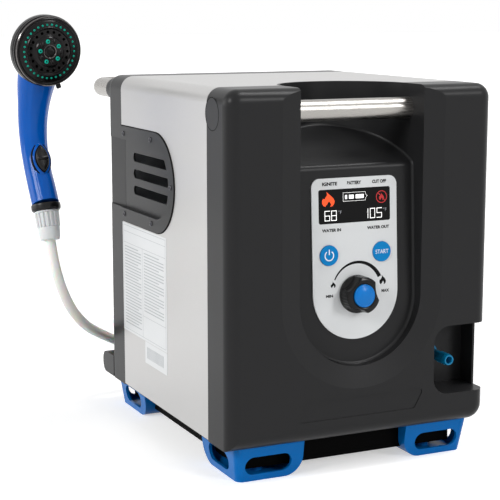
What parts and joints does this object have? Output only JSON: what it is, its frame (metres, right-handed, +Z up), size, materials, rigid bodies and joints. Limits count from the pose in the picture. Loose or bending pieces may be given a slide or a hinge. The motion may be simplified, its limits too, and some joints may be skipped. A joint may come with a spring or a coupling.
{
  "type": "portable propane water heater",
  "caption": "Portable gas water heater: black and silver case with grips, feet, vents, control panel with display, buttons and knob, and a blue hand shower on a white hose.",
  "frame": {"origin": "on the ground, at the middle of the rectangle of the four screw holes under the feet", "axes": "+Z up, -Y out of the control panel, -X towards the hand shower"},
  "size_m": [0.4216, 0.5514, 0.4629],
  "materials": {
    "case_plastic": "matt black moulded plastic",
    "pan_steel": "black painted steel",
    "case_sheet": "silver grey painted steel sheet",
    "grip_steel": "brushed stainless steel tube",
    "blue_plastic": "blue moulded plastic",
    "screw_steel": "plated",
    "label_film": "white film",
    "fitting_brass": "machined",
    "black_plastic": "black",
    "black_rubber": "matt",
    "foot_plastic": "blue, satin",
    "panel_film": "pale silver printed film",
    "display_window": "glossy black window",
    "circuit_board": "green board",
    "button_plastic": "blue",
    "knob_plastic": "black, satin",
    "knob_cap_plastic": "glossy blue",
    "bright_steel": "bright",
    "valve_aluminium": "cast",
    "pipe_copper": "copper tube and sheet",
    "inner_steel": "galvanised sheet",
    "electrode_ceramic": "ceramic",
    "handset_plastic": "glossy blue",
    "spray_plastic": "glossy black with teal nozzles",
    "nut_plastic": "white ribbed",
    "hose_plastic": "off-white translucent"
  },
  "bodies": {
    "case": {"base_pan": "pan_steel", "battery_pack": "black_plastic", "battery_strap": "inner_steel", "burner_tray": "inner_steel", "case_screws": "screw_steel", "charge_port": "black_plastic", "chassis_frame": "inner_steel", "cold_pipe": "pipe_copper", "combustion_chamber": "inner_steel", "control_board": "circuit_board", "control_panel": "panel_film", "drain_nozzle": "blue_plastic", "drain_pipe": "pipe_copper", "flow_sensor": "black_plastic", "flue_hood": "inner_steel", "foot_front_left": "foot_plastic", "foot_front_right": "foot_plastic", "foot_rear_left": "foot_plastic", "foot_rear_right": "foot_plastic", "front_handle_tube": "grip_steel", "front_shell": "case_plastic", "gas_inlet": "fitting_brass", "gas_manifold": "valve_aluminium", "gas_pipes": "pipe_copper", "gas_valve": "valve_aluminium", "handle_caps": "case_plastic", "handset_body": "handset_plastic", "handset_collar": "black_plastic", "handset_head": "spray_plastic", "heat_exchanger_coil": "pipe_copper", "heat_exchanger_fins": "pipe_copper", "hose_coil": "hose_plastic", "hose_nut": "nut_plastic", "hot_pipe": "pipe_copper", "igniter_electrode": "electrode_ceramic", "ignition_module": "black_plastic", "lcd_module": "black_plastic", "lcd_window": "display_window", "outlet_hose": "hose_plastic", "outlet_nut": "fitting_brass", "pump_pipe": "pipe_copper", "rear_handle_tube": "grip_steel", "rear_shell": "case_plastic", "shower_hose": "hose_plastic", "side_label": "label_film", "vent_panel_left": "case_plastic", "vent_panel_right": "case_plastic", "vent_screws": "screw_steel", "water_inlet": "fitting_brass", "water_outlet": "fitting_brass", "water_pump": "black_plastic", "wrapper_sheet": "case_sheet"},
    "knob": {"knob_body": "knob_plastic", "knob_cap": "knob_cap_plastic", "knob_shaft": "bright_steel"},
    "power_button": {"power_button": "button_plastic"},
    "start_button": {"start_button": "button_plastic"},
    "spray_face": {"spray_face": "spray_plastic"},
    "flow_switch": {"flow_switch": "black_plastic"},
    "port_cover": {"port_cover": "black_rubber"}
  },
  "joints": [
    {"name": "knob_turn", "type": "hinge", "parent": "case", "child": "knob", "pos_m": [0, -0.15353, 0.18304], "axis": [0, -0.9986, 0.0529], "range_deg": [-100, 100]},
    {"name": "power_press", "type": "slide", "parent": "case", "child": "power_button", "axis": [0, 0.9986, -0.0529], "range_m": [0, 0.001], "stiffness_N_per_m": 1500},
    {"name": "start_press", "type": "slide", "parent": "case", "child": "start_button", "axis": [0, 0.9986, -0.0529], "range_m": [0, 0.001], "stiffness_N_per_m": 1500},
    {"name": "spray_turn", "type": "hinge", "parent": "case", "child": "spray_face", "pos_m": [-0.228, 0.135, 0.422], "axis": [0.0868, -0.9924, -0.0872], "range_deg": [-60, 60]},
    {"name": "flow_slide", "type": "slide", "parent": "case", "child": "flow_switch", "axis": [-0.0334, 0.3812, 0.9239], "range_m": [-0.002, 0.002]},
    {"name": "cover_lift", "type": "hinge", "parent": "case", "child": "port_cover", "pos_m": [0, 0.1698, 0.163], "axis": [1, 0, 0], "range_deg": [0, 120]}
  ]
}
